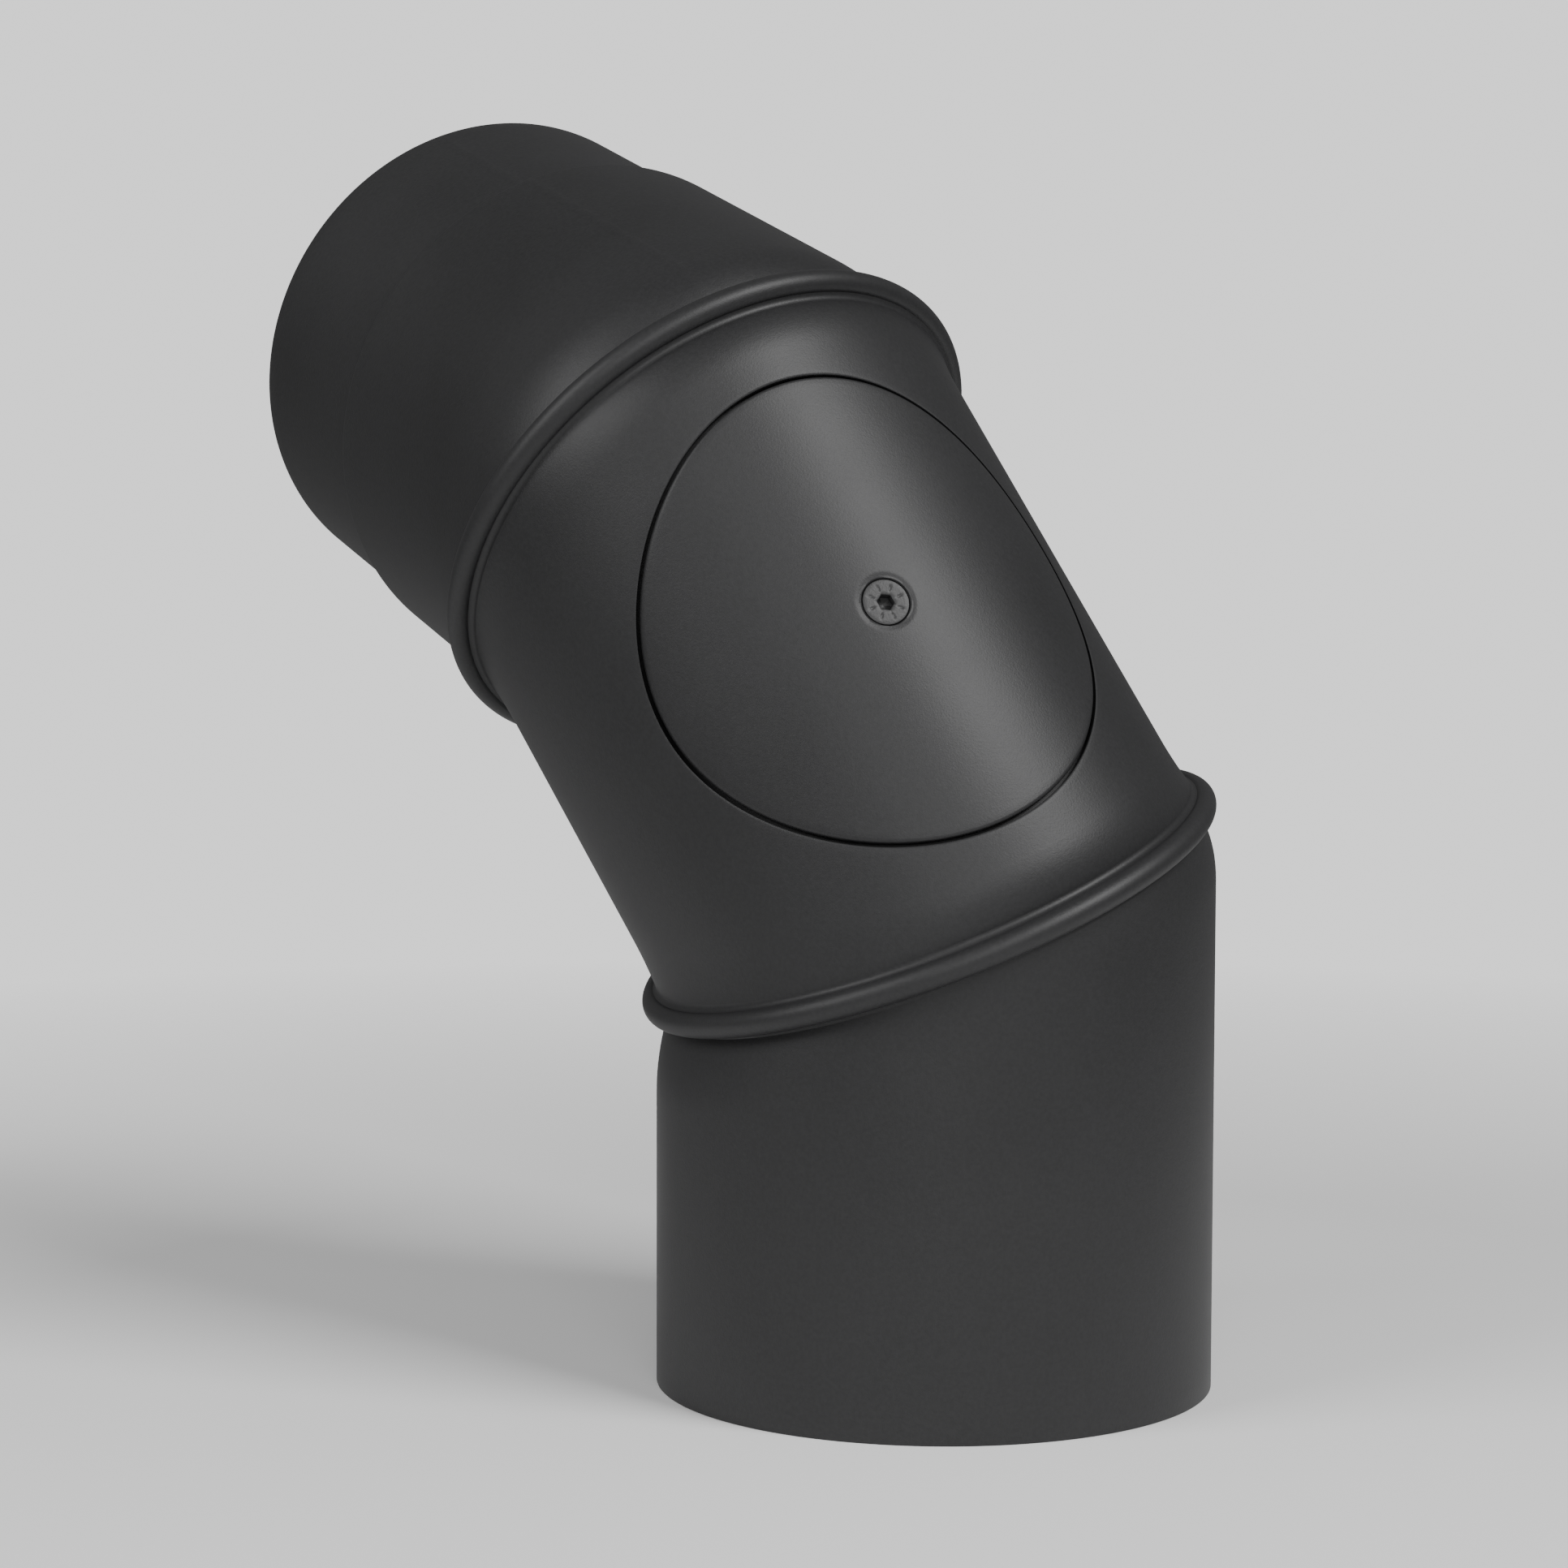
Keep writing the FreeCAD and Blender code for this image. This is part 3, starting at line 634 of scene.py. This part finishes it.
SOCKET_FLATS = 2.0 * MM         # half-width across the socket's flats
SHANK = 2.95 * MM               # radius over the thread's crests
PITCH = 1.0 * MM
THREAD_DEPTH = 0.55 * MM
SCREW_LENGTH = 20 * MM


def hexagon_radius(turns, flats):
    """Distance from the centre to a hexagon of the given half-width across flats."""
    sector = (turns + math.pi / 6) % (math.pi / 3) - math.pi / 6
    return flats / np.cos(sector)


def make_screw():
    """Countersunk screw: dished hexagon socket, ring of plain ticks, rolled thread."""
    turns = np.linspace(0, 2 * math.pi, 144, endpoint=False)
    socket_floor = HEAD_TOP - 2.3 * MM
    hexagon = hexagon_radius(turns, SOCKET_FLATS)

    def row(radius, height):
        return cup_row(turns, radius, height)

    # Eight short ticks stand in for the maker's and strength marks on a real head.
    tick = np.clip(np.cos(turns * 8) * 3 - 2.0, 0, 1)
    rows = [row(hexagon * 0.3, socket_floor - 0.55 * MM), row(hexagon * 0.97, socket_floor),
            row(hexagon, socket_floor + 0.1 * MM), row(hexagon, HEAD_TOP - 0.3 * MM),
            row(hexagon * 1.04, HEAD_TOP - 0.1 * MM), row(hexagon + 0.28 * MM, HEAD_TOP)]
    for radius, share in ((3.3, 0), (3.5, 1), (4.1, 1), (4.7, 1), (4.9, 0)):
        rows.append(row(radius * MM, HEAD_TOP - 0.13 * MM * share * tick))
    rows += [row(HEAD - 0.35 * MM, HEAD_TOP), row(HEAD - 0.1 * MM, HEAD_TOP - 0.07 * MM),
             row(HEAD, HEAD_TOP - 0.22 * MM), row(HEAD, HEAD_TOP - 0.4 * MM),
             row(HEAD - 0.1 * MM, HEAD_TOP - 0.5 * MM)]
    neck_height = HEAD_TOP - 0.4 * MM - (HEAD - SHANK)
    rows += [row(SHANK + 0.1 * MM, neck_height + 0.1 * MM),
             row(SHANK, neck_height - 0.2 * MM)]
    # The thread, cut less deep over its first and last turn and chamfered at the tip.
    tip = HEAD_TOP - SCREW_LENGTH
    start = neck_height - 1.2 * MM
    per_turn = 8
    steps = int((start - tip) / (PITCH / per_turn))
    for step in range(steps):
        height = start - step * PITCH / per_turn
        phase = (height / PITCH - turns / (2 * math.pi)) % 1.0
        groove = np.abs(phase - 0.5) * 2
        ends = min(1.0, step / per_turn, (steps - step) / per_turn)
        chamfer = max(0.0, 0.6 * MM - (height - tip))
        rows.append(row(SHANK - THREAD_DEPTH * groove * ends - chamfer, height))
    builder = Builder()
    rings = builder.strips(rows)
    socket_bottom = middle_tube.at(socket_floor - 0.65 * MM, 0, COVER_HEIGHT)
    builder.cap(rings[0], socket_bottom, flip=True)
    builder.cap(rings[-1], middle_tube.at(tip, 0, COVER_HEIGHT))
    new_object("socket_screw", builder, screw_paint, "screw",
               "cover_screw", sharp=40)


# ---- Carried-over CAD nodes -------------------------------------------------------------

def dress(node, material, bevel=None):
    """Give a CAD node its material and, where it has sharp edges, a small rounding."""
    item = frame["nodes"][node]
    item.data.materials.clear()
    item.data.materials.append(material)
    if bevel:
        modifier = item.modifiers.new("rounding", "BEVEL")
        modifier.width = bevel
        modifier.segments = 3
        modifier.limit_method = "ANGLE"
        modifier.angle_limit = math.radians(40)
        modifier.harden_normals = True


# ---- Floor, light and camera ------------------------------------------------------------

FADE_START = 0.3                # the floor fades between these distances from the elbow
FADE_END = 1.0
WORLD_STRENGTH = 0.19           # light from all round
BACKDROP_STRENGTH = 1.25        # what is seen behind the elbow
LENS = 81.79                    # millimetres on a 36 mm sensor
CAMERA_PLACE = (-0.3824, -0.9036, 0.2317)
CAMERA_WAY = (0.34926, 0.93461, -0.06717)
CAMERA_UP = (0.02129, 0.06375, 0.99774)
LIT_SPOT = (0, 0, 0.2)          # the lights face this point in the elbow


def make_stage():
    """A pale floor that fades into the background away from the elbow."""
    mesh = bpy.data.meshes.new("floor")
    half = 1.6
    corners = [(-half, -half, 0), (half, -half, 0), (half, half, 0), (-half, half, 0)]
    mesh.from_pydata(corners, [], [(0, 1, 2, 3)])
    floor = bpy.data.objects.new("floor", mesh)
    bpy.context.scene.collection.objects.link(floor)
    material, tree, surface = shader("pale_floor", (0.92, 0.92, 0.92), 0.9)
    surface.inputs["Specular IOR Level"].default_value = 0.1
    distance = tree.nodes.new("ShaderNodeVectorMath")
    distance.operation = "LENGTH"
    tree.links.new(object_coordinates(tree), distance.inputs[0])
    clear = tree.nodes.new("ShaderNodeBsdfTransparent")
    mix = tree.nodes.new("ShaderNodeMixShader")
    fade = spread(tree, distance.outputs["Value"], 0, 1, FADE_START, FADE_END)
    tree.links.new(fade, mix.inputs["Fac"])
    tree.links.new(surface.outputs["BSDF"], mix.inputs[1])
    tree.links.new(clear.outputs["BSDF"], mix.inputs[2])
    tree.links.new(mix.outputs["Shader"], tree.nodes["Material Output"].inputs["Surface"])
    mesh.materials.append(material)


def area_light(name, place, side, power):
    """A square softbox of the given side in metres and power in watts."""
    data = bpy.data.lights.new(name, "AREA")
    data.shape = "SQUARE"
    data.size = side
    data.energy = power
    item = bpy.data.objects.new(name, data)
    item.location = place
    aim = Vector(LIT_SPOT) - Vector(place)
    item.rotation_mode = "QUATERNION"
    item.rotation_quaternion = aim.to_track_quat("-Z", "Y")
    bpy.context.scene.collection.objects.link(item)


def make_world(strength, backdrop):
    """Even white light from all round, in front of a paler backdrop."""
    world = bpy.data.worlds.new("studio")
    bpy.context.scene.world = world
    world.use_nodes = True
    tree = world.node_tree
    background = tree.nodes["Background"]
    background.inputs["Color"].default_value = (1, 1, 1, 1)
    seen = tree.nodes.new("ShaderNodeLightPath").outputs["Is Camera Ray"]
    tree.links.new(spread(tree, seen, strength, backdrop, 0, 1),
                   background.inputs["Strength"])


def make_camera():
    """A long lens about a metre away, a little above the elbow's middle."""
    data = bpy.data.cameras.new("camera")
    data.sensor_width = 36
    data.lens = LENS
    data.clip_start = 0.01
    data.clip_end = 50
    item = bpy.data.objects.new("camera", data)
    bpy.context.scene.collection.objects.link(item)
    item.location = CAMERA_PLACE
    forward = Vector(CAMERA_WAY).normalized()
    right = forward.cross(Vector(CAMERA_UP)).normalized()
    up = right.cross(forward)
    rotation = Matrix((right, up, -forward)).transposed()
    item.rotation_mode = "QUATERNION"
    item.rotation_quaternion = rotation.to_quaternion()
    bpy.context.scene.camera = item


# ---- The scene --------------------------------------------------------------------------

make_lower_segment()
make_middle_segment()
make_upper_segment()
make_cover()
make_gasket()
make_screw()
dress("seat_ring", inner_paint)
dress("screw_retainer", spring_steel)
dress("clamp_bar", zinc, 0.4 * MM)
dress("clamp_nut", zinc, 0.3 * MM)

make_stage()
make_camera()
make_world(WORLD_STRENGTH, BACKDROP_STRENGTH)
area_light("key", (0.75, -1.3, 1.6), 0.9, 38)
area_light("left", (-1.5, -0.3, 1.1), 0.9, 15)
area_light("front", (-0.6, -1.9, 0.9), 1.0, 11.5)
